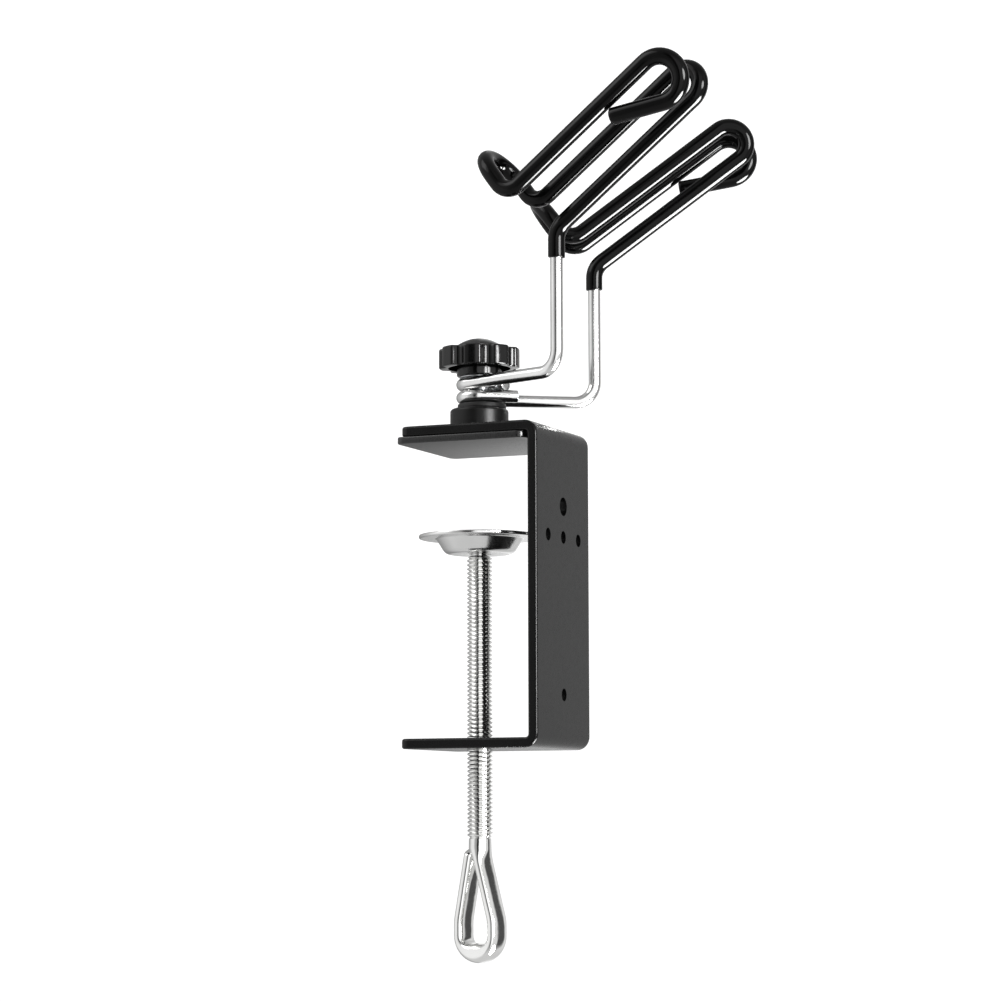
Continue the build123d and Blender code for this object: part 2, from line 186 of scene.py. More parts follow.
def rounded(corners, radii, spacing=None, closed=False):
    """Points along straight lines whose corners are turned with arcs of the given radii."""
    if closed:
        turns = zip(corners[-1:] + corners[:-1], corners, corners[1:] + corners[:1], radii)
        points = []
    else:
        turns = zip(corners, corners[1:], corners[2:], radii)
        points = [corners[0]]
    for before, corner, after, radius in turns:
        back = (before - corner).normalized()
        onward = (after - corner).normalized()
        half = back.angle(onward) / 2
        if radius <= 0 or half > math.pi / 2 - 1e-3:
            points.append(corner)
            continue
        centre = corner + (back + onward).normalized() * radius / math.sin(half)
        setback = radius / math.tan(half)
        start = (corner + back * setback - centre).normalized()
        end = (corner + onward * setback - centre).normalized()
        count = max(2, math.ceil((math.pi - 2 * half) / ARC_STEP))
        points += [centre + start.slerp(end, i / count) * radius for i in range(count + 1)]
    if not closed:
        points.append(corners[-1])
    return subdivided(points, spacing) if spacing else points


def subdivided(points, spacing):
    """The same line with no stretch between points longer than spacing."""
    finer = [points[0]]
    for start, end in zip(points, points[1:]):
        count = max(1, round((end - start).length / spacing))
        if (end - start).length > 1e-6:
            finer += [start.lerp(end, i / count) for i in range(1, count + 1)]
    return finer


def skin(rings, wrap=False):
    """Quads between rings of equally many points; wrap joins the last ring to the first."""
    count = len(rings[0])
    faces = []
    for i in range(len(rings) if wrap else len(rings) - 1):
        here, there = i * count, (i + 1) % len(rings) * count
        for j in range(count):
            k = (j + 1) % count
            faces.append((here + j, here + k, there + k, there + j))
    return [point for ring in rings for point in ring], faces


def lathe_rings(profile, segments=SEGMENTS):
    """One ring about the Z axis for each profile point, whose X is the radius."""
    turns = [math.tau * j / segments for j in range(segments)]
    return [[Vector((p.x * math.cos(a), p.x * math.sin(a), p.z)) for a in turns] for p in profile]


def profile_points(pairs):
    return [Vector((radius, 0, level)) for radius, level in pairs]


def washer_mesh(outer, inner, bottom, top, edge):
    """A closed ring with softened edges."""
    corners = profile_points([(inner, bottom), (outer, bottom), (outer, top), (inner, top)])
    return skin(lathe_rings(rounded(corners, [edge] * 4, closed=True)), wrap=True)


def path_frames(points):
    """A point, its direction and two crosswise directions that don't twist, along a path."""
    frames = []
    side = (points[1] - points[0]).orthogonal()
    for i, point in enumerate(points):
        ahead = points[min(i + 1, len(points) - 1)]
        behind = points[max(i - 1, 0)]
        direction = (ahead - behind).normalized()
        side = (side - direction * side.dot(direction)).normalized()
        frames.append((point, direction, side, direction.cross(side)))
    return frames


def round_ring(place, radius, shift=0.0):
    """A ring round one frame of a path; shift moves each point along the path."""
    point, direction, side, across = place
    ring = []
    for j in range(TUBE_SEGMENTS):
        turn = math.tau * j / TUBE_SEGMENTS
        along = shift(turn) if callable(shift) else shift
        out = side * math.cos(turn) + across * math.sin(turn)
        ring.append(point + direction * along + out * radius)
    return ring


def end_rings(place, radius, edge, outward):
    """A flat cut end with a rounded edge; outward is 1 at the path's end and -1 at its start."""
    steps = [math.pi / 2 * i / 4 for i in range(5)]
    rings = [
        round_ring(place, radius - edge * (1 - math.cos(a)), outward * edge * (math.sin(a) - 1))
        for a in steps
    ]
    rings += [round_ring(place, (radius - edge) * share) for share in (0.6, 0.0)]
    return rings if outward > 0 else rings[::-1]


def add_piece(name, mesh, body, material, nodes):
    """Makes one visible piece that rides on a CAD body and stands for CAD nodes."""
    verts, faces = mesh
    data = bpy.data.meshes.new(name)
    data.from_pydata([v * MM for v in verts], [], faces)
    clean = bmesh.new()
    clean.from_mesh(data)
    bmesh.ops.remove_doubles(clean, verts=clean.verts, dist=1e-4 * MM)
    bmesh.ops.dissolve_degenerate(clean, edges=clean.edges, dist=1e-5 * MM)
    bmesh.ops.recalc_face_normals(clean, faces=clean.faces)
    clean.to_mesh(data)
    clean.free()
    data.set_sharp_from_angle(angle=CREASE)
    for polygon in data.polygons:
        polygon.use_smooth = True
    piece = bpy.data.objects.new(name, data)
    bpy.context.scene.collection.objects.link(piece)
    data.materials.append(material)
    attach(piece, body)
    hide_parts(*nodes)
    return piece


# ---- materials ------------------------------------------------------------------------


def new_material(name, metallic=0.0, specular=0.5):
    material = bpy.data.materials.new(name)
    material.use_nodes = True
    tree = material.node_tree
    shader = tree.nodes["Principled BSDF"]
    shader.inputs["Metallic"].default_value = metallic
    shader.inputs["Specular IOR Level"].default_value = specular
    return material, tree, shader


def noise(tree, scale, detail=2.0, roughness=0.5):
    """Noise in the piece's own space; scale is in features per metre."""
    place = tree.nodes.new("ShaderNodeTexCoord")
    texture = tree.nodes.new("ShaderNodeTexNoise")
    texture.inputs["Scale"].default_value = scale
    texture.inputs["Detail"].default_value = detail
    texture.inputs["Roughness"].default_value = roughness
    tree.links.new(place.outputs["Object"], texture.inputs["Vector"])
    return texture.outputs["Fac"]


def spread(tree, value, low, high):
    """Maps noise, which lies mostly between 0.3 and 0.7, to a range."""
    ramp = tree.nodes.new("ShaderNodeMapRange")
    ramp.inputs["From Min"].default_value = 0.3
    ramp.inputs["From Max"].default_value = 0.7
    ramp.inputs["To Min"].default_value = low
    ramp.inputs["To Max"].default_value = high
    tree.links.new(value, ramp.inputs["Value"])
    return ramp.outputs["Result"]


def tinted(tree, shader, value, dark, light):
    """Base colour between two colours."""
    mix = tree.nodes.new("ShaderNodeMix")
    mix.data_type = "RGBA"
    mix.inputs["A"].default_value = (*dark, 1)
    mix.inputs["B"].default_value = (*light, 1)
    tree.links.new(value, mix.inputs["Factor"])
    tree.links.new(mix.outputs["Result"], shader.inputs["Base Color"])


def bumped(tree, shader, layers):
    """Stacks bumps; each layer is a height and its depth in millimetres."""
    normal = None
    for height, depth in layers:
        bump = tree.nodes.new("ShaderNodeBump")
        bump.inputs["Strength"].default_value = 1.0
        bump.inputs["Distance"].default_value = depth * MM
        tree.links.new(height, bump.inputs["Height"])
        if normal:
            tree.links.new(normal, bump.inputs["Normal"])
        normal = bump.outputs["Normal"]
    tree.links.new(normal, shader.inputs["Normal"])


def powder_coat():
    material, tree, shader = new_material("powder_coat", specular=0.22)
    peel = noise(tree, 900, detail=3)
    cloud = noise(tree, 60)
    dark, light = (0.0035, 0.0035, 0.0036), (0.006, 0.006, 0.006)
    tinted(tree, shader, spread(tree, cloud, 0, 1), dark, light)
    tree.links.new(spread(tree, peel, 0.22, 0.30), shader.inputs["Roughness"])
    bumped(tree, shader, [(peel, 0.005), (noise(tree, 3500), 0.0015)])
    return material


def dip_vinyl():
    material, tree, shader = new_material("dip_vinyl", specular=0.16)
    flow = noise(tree, 180, detail=1)
    tinted(tree, shader, spread(tree, flow, 0, 1), (0.002, 0.002, 0.002), (0.004, 0.004, 0.004))
    tree.links.new(spread(tree, noise(tree, 700), 0.07, 0.14), shader.inputs["Roughness"])
    bumped(tree, shader, [(flow, 0.02), (noise(tree, 2500), 0.0005)])
    return material


def knob_plastic():
    material, tree, shader = new_material("knob_plastic", specular=0.4)
    cloud = noise(tree, 150)
    tinted(tree, shader, spread(tree, cloud, 0, 1), (0.003, 0.003, 0.003), (0.006, 0.006, 0.006))
    tree.links.new(spread(tree, noise(tree, 900), 0.10, 0.18), shader.inputs["Roughness"])
    bumped(tree, shader, [(noise(tree, 1400), 0.003), (noise(tree, 260), 0.012)])
    return material


def collar_finish():
    material, tree, shader = new_material("collar_finish", specular=0.25)
    cloud = noise(tree, 250)
    grain = noise(tree, 2600, detail=3)
    tinted(tree, shader, spread(tree, cloud, 0, 1), (0.004, 0.004, 0.004), (0.008, 0.008, 0.008))
    tree.links.new(spread(tree, grain, 0.30, 0.42), shader.inputs["Roughness"])
    bumped(tree, shader, [(grain, 0.01)])
    return material


def pad_rubber():
    material, tree, shader = new_material("pad_rubber", specular=0.7)
    grain = noise(tree, 3000, detail=4, roughness=0.6)
    tinted(tree, shader, spread(tree, grain, 0, 1), (0.006, 0.006, 0.006), (0.012, 0.012, 0.012))
    tree.links.new(spread(tree, grain, 0.24, 0.36), shader.inputs["Roughness"])
    bumped(tree, shader, [(grain, 0.003), (noise(tree, 120), 0.03)])
    return material


def washer_rubber():
    material, tree, shader = new_material("washer_rubber")
    grain = noise(tree, 2400, detail=4)
    tinted(tree, shader, spread(tree, grain, 0, 1), (0.005, 0.005, 0.005), (0.010, 0.010, 0.010))
    tree.links.new(spread(tree, grain, 0.5, 0.66), shader.inputs["Roughness"])
    bumped(tree, shader, [(grain, 0.015)])
    return material


def plated_wire():
    material, tree, shader = new_material("plated_wire", metallic=1.0)
    cloud = noise(tree, 90)
    grain = noise(tree, 4000, detail=3)
    tinted(tree, shader, spread(tree, cloud, 0, 1), (0.76, 0.76, 0.755), (0.86, 0.86, 0.855))
    tree.links.new(spread(tree, grain, 0.14, 0.22), shader.inputs["Roughness"])
    bumped(tree, shader, [(grain, 0.001), (noise(tree, 500), 0.004)])
    return material


def nickel_steel():
    material, tree, shader = new_material("nickel_steel", metallic=1.0)
    cloud = noise(tree, 120)
    tumble = noise(tree, 420, detail=1)
    tinted(tree, shader, spread(tree, cloud, 0, 1), (0.80, 0.80, 0.79), (0.90, 0.90, 0.89))
    tree.links.new(spread(tree, noise(tree, 1500), 0.06, 0.14), shader.inputs["Roughness"])
    bumped(tree, shader, [(tumble, 0.05), (noise(tree, 3500), 0.001)])
    return material


def pressed_steel():
    material, tree, shader = new_material("pressed_steel", metallic=1.0)
    cloud = noise(tree, 80)
    grain = noise(tree, 2500, detail=3)
    tinted(tree, shader, spread(tree, cloud, 0, 1), (0.76, 0.76, 0.755), (0.86, 0.86, 0.855))
    tree.links.new(spread(tree, grain, 0.14, 0.26), shader.inputs["Roughness"])
    bumped(tree, shader, [(noise(tree, 300), 0.02), (grain, 0.004)])
    return material


def zinc_steel():
    material, tree, shader = new_material("zinc_steel", metallic=1.0)
    spangle = noise(tree, 300, detail=4)
    tinted(tree, shader, spread(tree, spangle, 0, 1), (0.50, 0.51, 0.52), (0.66, 0.67, 0.68))
    tree.links.new(spread(tree, spangle, 0.24, 0.4), shader.inputs["Roughness"])
    bumped(tree, shader, [(noise(tree, 2600), 0.005)])
    return material


def insert_brass():
    material, tree, shader = new_material("insert_brass", metallic=1.0)
    cloud = noise(tree, 700, detail=3)
    tinted(tree, shader, spread(tree, cloud, 0, 1), (0.62, 0.42, 0.16), (0.76, 0.55, 0.25))
    tree.links.new(spread(tree, cloud, 0.22, 0.38), shader.inputs["Roughness"])
    bumped(tree, shader, [(noise(tree, 3000), 0.005)])
    return material


# ---- holders --------------------------------------------------------------------------


def holder_corners(side, level, loop_end):
    """Corner points and bend radii of one holder's wire, with its arm along +X."""
    toe = -side * CRADLE_TOE_IN
    flat = math.cos(CRADLE_ELEVATION)
    run = Vector((math.cos(toe) * flat, math.sin(toe) * flat, math.sin(CRADLE_ELEVATION)))
    across = Vector((-math.sin(toe), math.cos(toe), 0))
    above = run.cross(across)
    outward = across * side
    hairpin = above * math.cos(HAIRPIN_TILT) + outward * math.sin(HAIRPIN_TILT)
    curl = outward * math.sin(HOOK_TILT) - above * math.cos(HOOK_TILT)
    step = HOOK_TURN / 2
    setback = HOOK_RADIUS * math.tan(step / 2)

    elbow = Vector((ARM_REACH, side * LOOP_RADIUS, level))
    stem_top = elbow + Vector((0, 0, STEM_HEIGHT))
    hairpin_start = stem_top + run * RUN_UP
    hairpin_end = hairpin_start + hairpin * HAIRPIN_WIDTH
    foot = hairpin_end - run * RUN_DOWN
    saddle = foot + above * SADDLE_REACH
    far_saddle = saddle + outward * SADDLE_WIDTH
    far_foot = foot + outward * SADDLE_WIDTH
    hook = far_foot + run * (RUN_LAST + setback)
    hook_back = hook + (run * math.cos(step) + curl * math.sin(step)) * 2 * setback
    tail = run * math.cos(2 * step) + curl * math.sin(2 * step)

    corners = [
        Vector((loop_end, -side * LOOP_RADIUS, level)),
        Vector((-LOOP_RADIUS, -side * LOOP_RADIUS, level)),
        Vector((-LOOP_RADIUS, side * LOOP_RADIUS, level)),
        elbow, stem_top, hairpin_start, hairpin_end, foot, saddle, far_saddle, far_foot,
        hook, hook_back, hook_back + tail * (setback + HOOK_TAIL),
    ]
    radii = [
        LOOP_RADIUS, LOOP_RADIUS, ELBOW_RADIUS, ELBOW_RADIUS,
        HAIRPIN_WIDTH / 2, HAIRPIN_WIDTH / 2, FOOT_RADIUS,
        SADDLE_WIDTH / 2, SADDLE_WIDTH / 2, FOOT_RADIUS, HOOK_RADIUS, HOOK_RADIUS,
    ]
    return corners, radii


def wire_mesh(points):
    places = path_frames(points)
    rings = end_rings(places[0], WIRE_RADIUS, WIRE_END_EDGE, -1)
    rings += [round_ring(place, WIRE_RADIUS) for place in places[1:-1]]
    rings += end_rings(places[-1], WIRE_RADIUS, WIRE_END_EDGE, 1)
    return skin(rings)


def sleeve_mesh(points, wire_end, rng):
    """The dipped coating: a bore round the wire, an uneven lip, and a domed cap past its end."""
    places = path_frames(points)
    bored = path_frames(points[:-1] + [wire_end])
    bore = WIRE_RADIUS + SLEEVE_CLEARANCE
    wave, phase = rng.uniform(0.1, 0.16), rng.uniform(0, math.tau)

    def drip(turn):
        return wave * (1 + math.sin(turn + phase)) + wave / 3 * (1 + math.sin(3 * turn - phase))

    inner = [round_ring(bored[-1], share * bore) for share in (0.0, 0.6, 1.0)]
    inner += [round_ring(place, bore) for place in bored[-2:0:-1]]
    lip = SLEEVE_RADIUS - bore
    lip_rings = []
    for i in range(7):
        angle = math.pi * i / 6
        radius = bore + lip / 2 * (1 - math.cos(angle))
        lift = lip / 2 * (1 - math.sin(angle))
        lip_rings.append(round_ring(places[0], radius, lambda turn, lift=lift: drip(turn) + lift))

    outer = []
    ripple = 0.0
    for place in places[1:-1]:
        ripple = max(0.0, min(RIPPLE, ripple + rng.uniform(-RIPPLE_STEP, RIPPLE_STEP)))
        outer.append(round_ring(place, SLEEVE_RADIUS - ripple))
    outer += end_rings(places[-1], SLEEVE_RADIUS, SLEEVE_CAP, 1)
    return skin(inner + lip_rings + outer)


def make_holders(wire_finish, sleeve_finish):
    rng = random.Random(7)
    for name, settings in HOLDERS.items():
        low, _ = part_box(f"{name}_wire")
        level = low.z / MM + WIRE_RADIUS
        turn = Matrix.Rotation(settings["azimuth"], 3, "Z")
        corners, radii = holder_corners(settings["side"], level, settings["loop_end"])
        corners = [turn @ corner for corner in corners]
        wire = wire_mesh(rounded(corners, radii, spacing=4.0))

        covered = [corners[3] + Vector((0, 0, settings["sleeve_start"]))] + corners[4:]
        tail = (corners[-1] - corners[-2]).normalized()
        covered[-1] = corners[-1] + tail * SLEEVE_CAP
        sleeve = sleeve_mesh(rounded(covered, radii[3:], spacing=1.5), corners[-1], rng)
        add_piece(f"{name}_bent_wire", wire, name, wire_finish, [f"{name}_wire"])
        add_piece(
            f"{name}_dipped_sleeve", sleeve, name, sleeve_finish, [f"{name}_sleeve"]
        )


# ---- turned pieces on the bolt --------------------------------------------------------


def make_collar(finish):
    radius, bottom, top = radius_and_levels("spacer_collar")
    cavity, bore, wall = 5.4, 2.52, 1.2
    corners = profile_points([
        (cavity, bottom), (radius, bottom), (radius, top), (bore, top),
        (bore, top - wall), (cavity, top - wall),
    ])
    rings = lathe_rings(rounded(corners, [0.15, 0.2, 0.8, 0.15, 0.1, 0.3], closed=True))
    add_piece("collar", skin(rings, wrap=True), "frame", finish, ["spacer_collar"])


def make_washers(rubber, steel):
    radius, bottom, top = radius_and_levels("friction_washer")
    low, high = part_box("friction_washer")
    shift = Vector(((low.x + high.x) / 2, (low.y + high.y) / 2, 0)) / MM
    verts, faces = washer_mesh(radius, RUBBER_WASHER_BORE, bottom, top, edge=0.3)
    mesh = [v + shift for v in verts], faces
    add_piece("rubber_washer", mesh, "frame", rubber, ["friction_washer"])
    radius, bottom, top = radius_and_levels("knob_washer")
    mesh = washer_mesh(radius, STEEL_WASHER_BORE, bottom, top, edge=0.1)
    add_piece("steel_washer", mesh, "knob_carrier", steel, ["knob_washer"])
    radius, bottom, top = radius_and_levels("pad_retaining_washer")
    mesh = washer_mesh(radius, RETAINING_WASHER_BORE, bottom, top, edge=0.18)
    add_piece(
        "retaining_washer", mesh, "swivel_carrier", steel, ["pad_retaining_washer"]
    )


# ---- knob -----------------------------------------------------------------------------


def knob_outline(inset):
    """The lobed rim, moved inward by inset; every inset gives equally many points."""
    fillet_reach = KNOB_RADIUS - LOBE_ROUND
    gap = VALLEY_RADIUS + LOBE_ROUND
    spread_angle = math.acos(
        (fillet_reach**2 + VALLEY_CENTRE**2 - gap**2) / (2 * fillet_reach * VALLEY_CENTRE)
    )
    fillet_centre = Vector((fillet_reach, 0, 0))
    valley_centre = Vector((VALLEY_CENTRE, 0, 0))
    pitch = math.tau / KNOB_LOBES
    points = []
    for lobe in range(KNOB_LOBES):
        valley_turn = KNOB_LOBE_AZIMUTH + pitch * (lobe - 0.5)
        valley = Matrix.Rotation(valley_turn, 3, "Z") @ valley_centre
        for sign in (1, -1):
            lobe_turn = valley_turn + (spread_angle if sign > 0 else pitch - spread_angle)
            centre = Matrix.Rotation(lobe_turn, 3, "Z") @ fillet_centre
            if sign < 0:
                valley = Matrix.Rotation(valley_turn + pitch, 3, "Z") @ valley_centre
            toward_valley = (valley - centre).normalized()
            outward = centre.normalized()
            arc = [
                centre + toward_valley.slerp(outward, i / 5) * (LOBE_ROUND - inset)
                for i in range(6)
            ]
            points += arc if sign > 0 else arc[::-1]
            if sign > 0:
                rim_end = valley_turn + pitch - spread_angle
                for i in range(1, 4):
                    turn = lobe_turn + (rim_end - lobe_turn) * i / 4
                    reach = KNOB_RADIUS - inset
                    points.append(Vector((math.cos(turn), math.sin(turn), 0)) * reach)
            else:
                start = -toward_valley
                next_centre = Matrix.Rotation(valley_turn + pitch + spread_angle, 3, "Z")
                end = ((next_centre @ fillet_centre) - valley).normalized()
                points += [
                    valley + start.slerp(end, i / 8) * (VALLEY_RADIUS + inset)
                    for i in range(1, 8)
                ]
    return points


def make_knob(finish):
    low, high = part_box("knob_body")
    bottom, top = low.z / MM, high.z / MM
    rim_bottom = bottom + HUB_HEIGHT
    rim_top = rim_bottom + RIM_HEIGHT
    insert_radius, _, socket_top = radius_and_levels("knob_insert")
    socket_radius = insert_radius + KNOB_SOCKET_CLEARANCE
    recess_top = rim_bottom + RECESS_DEPTH
    directions = [point.normalized() for point in knob_outline(0)]

    def circle(radius, level):
        return [direction * radius + Vector((0, 0, level)) for direction in directions]

    def outline(inset, level):
        return [point + Vector((0, 0, level)) for point in knob_outline(inset)]

    def rim_edge(level, depth, inward):
        """Rings that round the rim's edge at this level."""
        angles = [math.pi / 2 * i / 5 for i in range(6)]
        return [
            outline(depth * (1 - math.cos(a)), level + inward * depth * (math.sin(a) - 1))
            for a in angles
        ]

    underside = profile_points([
        (AXIS, socket_top), (socket_radius, socket_top), (socket_radius, bottom),
        (HUB_RADIUS, bottom), (HUB_RADIUS, recess_top), (RECESS_RADIUS, recess_top),
        (RECESS_RADIUS, rim_bottom),
    ])
    underside = rounded(underside, [0.1, 0.1, 0.35, 0.4, 0.4])
    rings = [circle(p.x, p.z) for p in underside]
    rings += rim_edge(rim_bottom, RIM_UNDERSIDE_ROUND, -1)[::-1]
    rings += rim_edge(rim_top, RIM_ROUND, 1)
    sphere = (DOME_RADIUS**2 + DOME_HEIGHT**2) / (2 * DOME_HEIGHT)
    rings.append(circle(DOME_RADIUS + DOME_GROOVE_WIDTH, rim_top))
    rings.append(circle(DOME_RADIUS + DOME_GROOVE_WIDTH / 2, rim_top - DOME_GROOVE))
    for i in range(9):
        reach = DOME_RADIUS * math.cos(math.pi / 2 * i / 8)
        rings.append(circle(max(reach, 0.0), top - sphere + math.sqrt(sphere**2 - reach**2)))
    add_piece("lobed_knob", skin(rings), "knob", finish, ["knob_body"])


def make_insert(brass):
    radius, bottom, top = radius_and_levels("knob_insert")
    roof = top - INSERT_ROOF
    corners = profile_points([
        (AXIS, top), (radius, top), (radius, bottom), (INSERT_BORE, bottom),
        (INSERT_BORE, roof), (AXIS, roof),
    ])
    rings = lathe_rings(rounded(corners, [0.2, 0.2, 0.35, 0.1]))
    add_piece("threaded_insert", skin(rings), "knob", brass, ["knob_insert"])


# ---- threads --------------------------------------------------------------------------


def thread_rings(radius, pitch, top, bottom):
    """Rings that follow a thread's helix down from top, kept between its two ends."""
    depth = THREAD_DEPTH * pitch
    rings = []
    for row in range(THREAD_ROWS * (math.ceil((top - bottom) / pitch) + 1) + 1):
        ring = []
        for j in range(THREAD_SEGMENTS):
            level = top + pitch - pitch * (row / THREAD_ROWS + j / THREAD_SEGMENTS)
            level = min(max(level, bottom), top)
            phase = ((top - level) / pitch - j / THREAD_SEGMENTS) % 1.0
            height = min(1.0, max(0.0, THREAD_CREST - THREAD_FLANK * abs(phase - 0.5)))
            end_fade = min(1.0, (top - level) / THREAD_FADE, (level - bottom) / THREAD_FADE)
            reach = radius - depth * (1 - height * max(end_fade, 0.0))
            turn = math.tau * j / THREAD_SEGMENTS
            ring.append(Vector((reach * math.cos(turn), reach * math.sin(turn), level)))
        rings.append(ring)
    return rings


def strap_ring(point, direction, thickness, depth, inward=0.0, blend=1.0):
    """A flattened wire's section across a path in the XZ plane; blend 0 is the round shank."""
    flat = direction.cross(Vector((0, 1, 0))).normalized()
    ring = []
    for j in range(THREAD_SEGMENTS):
        turn = math.tau * (j + 0.5) / THREAD_SEGMENTS
        cos, sin = math.cos(turn), math.sin(turn)
        across = thickness / 2 * math.copysign(abs(cos) ** EYE_SQUARENESS, cos)
        along_y = depth / 2 * math.copysign(abs(sin) ** EYE_SQUARENESS, sin)
        x = SHANK_RADIUS * cos * (1 - blend) + across * blend
        y = SHANK_RADIUS * sin * (1 - blend) + along_y * blend
        ring.append(point + flat * (x - inward) + Vector((0, y, 0)))
    return ring


def eye_path():
    """The eye's centreline, from the shank round to the cut end."""
    corners = profile_points([
        (EYE_ROOT_OFFSET, SHANK_END - 0.5), (EYE_ROOT_OFFSET, SHANK_END - 3),
        (EYE_HALF_WIDTH, EYE_SHOULDER), (EYE_HALF_WIDTH, EYE_BOTTOM),
        (-EYE_HALF_WIDTH, EYE_BOTTOM), (-EYE_HALF_WIDTH, EYE_SHOULDER),
        (EYE_END_OFFSET, EYE_END_HEIGHT),
    ])
    path = rounded(corners, [6, 8, EYE_HALF_WIDTH, EYE_HALF_WIDTH, 8], spacing=1.0)
    # points that nearly repeat would crease the strap
    return path[:1] + [b for a, b in zip(path, path[1:]) if (b - a).length > 0.2]


def eye_rings():
    """The eye grows out of the round shank, thickens into a heel and ends in a slanted cut."""
    heel = EYE_HEEL_TOP - EYE_BOTTOM - EYE_THICKNESS / 2
    cut_level = EYE_END_HEIGHT - EYE_DEPTH * EYE_END_SLANT
    rings = []
    for point, direction, _, _ in path_frames(eye_path()):
        place = point.copy()
        blend = 1.0
        if point.x >= 0:
            blend = min(1.0, (SHANK_END - point.z) / (SHANK_END - EYE_ROOT_BOTTOM))
            blend = blend * blend * (3 - 2 * blend)
            if blend < 1.0:
                place.x *= blend
        elif point.z > cut_level:
            continue
        extra = heel * direction.x ** 2 if point.z < EYE_SHOULDER else 0.0
        rings.append(
            strap_ring(place, direction, EYE_THICKNESS + extra, EYE_DEPTH, extra / 2, blend)
        )
    for inset, out in EYE_END_EDGE:
        ring = strap_ring(point, direction, EYE_THICKNESS - 2 * inset, EYE_DEPTH - 2 * inset)
        rings.append([p + direction * (out + EYE_END_SLANT * p.y) for p in ring])
    rings.append([point + direction * out] * THREAD_SEGMENTS)
    return rings


def make_clamp_screw(finish):
    _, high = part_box("clamp_screw")
    top = high.z / MM
    cap = profile_points([
        (AXIS, top), (SCREW_HEAD_RADIUS, top), (SCREW_HEAD_RADIUS, top - SCREW_HEAD_HEIGHT),
        (SCREW_NECK_RADIUS, top - SCREW_HEAD_HEIGHT), (SCREW_NECK_RADIUS, SCREW_SHOULDER),
        (SCREW_ROOT_RADIUS, SCREW_SHOULDER),
    ])
    shank = profile_points([
        (SCREW_RADIUS - 0.35, THREAD_END - 0.3), (SHANK_RADIUS, SHANK_END),
    ])
    rings = lathe_rings(rounded(cap, [0.75, 0.1, 0.05, 0.1]), THREAD_SEGMENTS)
    rings += thread_rings(SCREW_RADIUS, SCREW_PITCH, SCREW_SHOULDER - 0.05, THREAD_END)
    rings += lathe_rings(shank, THREAD_SEGMENTS)
    rings += eye_rings()
    turn = Matrix.Rotation(EYE_AZIMUTH, 3, "Z")
    mesh = skin([[turn @ point for point in ring] for ring in rings])
    add_piece("threaded_screw", mesh, "clamp_screw", finish, ["clamp_screw"])


def make_bolt(finish):
    low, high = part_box("pivot_bolt")
    bottom, top = low.z / MM, high.z / MM
    head_radius, radius, head_height = 4.6, 2.5, 2.1
    socket_radius, socket_depth = 1.6, 0.6
    start = profile_points([
        (AXIS, top), (radius - 0.5, top), (radius - 0.48, top - 0.1),
    ])
    rings = lathe_rings(start, THREAD_SEGMENTS)
    rings += thread_rings(radius, BOLT_PITCH, top - 0.15, bottom + head_height + 0.3)
    end = profile_points([
        (radius, bottom + head_height), (head_radius, bottom + 0.15), (head_radius - 0.1, bottom),
        (socket_radius, bottom), (AXIS, bottom + socket_depth),
    ])
    rings += lathe_rings(end, THREAD_SEGMENTS)
    add_piece("threaded_bolt", skin(rings), "frame", finish, ["pivot_bolt"])


# ---- pressure pad ---------------------------------------------------------------------


def make_pressure_pad(finish):
    radius, bottom, top = radius_and_levels("pressure_pad")
    sheet, cup, floor, hole = 0.9, 10.4, 8.1, 2.6
    corners = profile_points([
        (hole, bottom), (floor, bottom), (cup, top - sheet), (radius, top - sheet),
        (radius, top), (cup + sheet / 2 - sheet, top), (floor - sheet / 2, bottom + sheet),
        (hole, bottom + sheet),
    ])
    radii = [0.25, 2.2, 0.5, 0.4, 0.3, 1.1, 1.3, 0.15]
    rings = lathe_rings(rounded(corners, radii, closed=True), PAD_SEGMENTS)
    add_piece(
        "swivel_pad", skin(rings, wrap=True), "pressure_pad", finish,
        ["pressure_pad"],
    )


def make_jaw_pad(finish):
    """A thin moulded pad with crowned edges and rounded corners."""
    low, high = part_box("jaw_pad")
    low, high = low / MM, high / MM
    corner, edge = 2.0, 0.35
    middle = (low + high) / 2
    half_x, half_y = (high.x - low.x) / 2, (high.y - low.y) / 2

    def outline(inset, level):
        reach_x, reach_y = half_x - inset, half_y - inset
        corners = [
            Vector((middle.x + sx * reach_x, middle.y + sy * reach_y, level))
            for sx, sy in ((-1, -1), (1, -1), (1, 1), (-1, 1))
        ]
        return rounded(corners, [corner - inset] * 4, closed=True)

    steps = [math.pi / 2 * i / 4 for i in range(5)]
    rings = [outline(edge * (1 - math.sin(a)), low.z + edge * (1 - math.cos(a))) for a in steps]
    rings += [
        outline(edge * (1 - math.cos(a)), high.z - edge * (1 - math.sin(a))) for a in steps
    ]
    verts, faces = skin(rings)
    count = len(rings[0])
    faces.append(tuple(range(count)))
    faces.append(tuple(range(len(verts) - count, len(verts))))
    add_piece("moulded_jaw_pad", (verts, faces), "frame", finish, ["jaw_pad"])


def finish_cad_node(name, material):
    """A CAD node that stays visible gets its own finish."""
    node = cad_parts[name]
    node.data.materials.clear()
    node.data.materials.append(material)


# ---- stage ----------------------------------------------------------------------------

# lengths are in metres from here on
CAMERA_PLACE = Vector((0.2845, -0.6478, -0.0886))
CAMERA_AIM = Vector((-0.39334, 0.91315, 0.10699))
CAMERA_ROLL = math.radians(-0.143)
CAMERA_LENS = 107.0
FLOOR_DROP = 0.06           # the clamp screw needs 43 mm of it
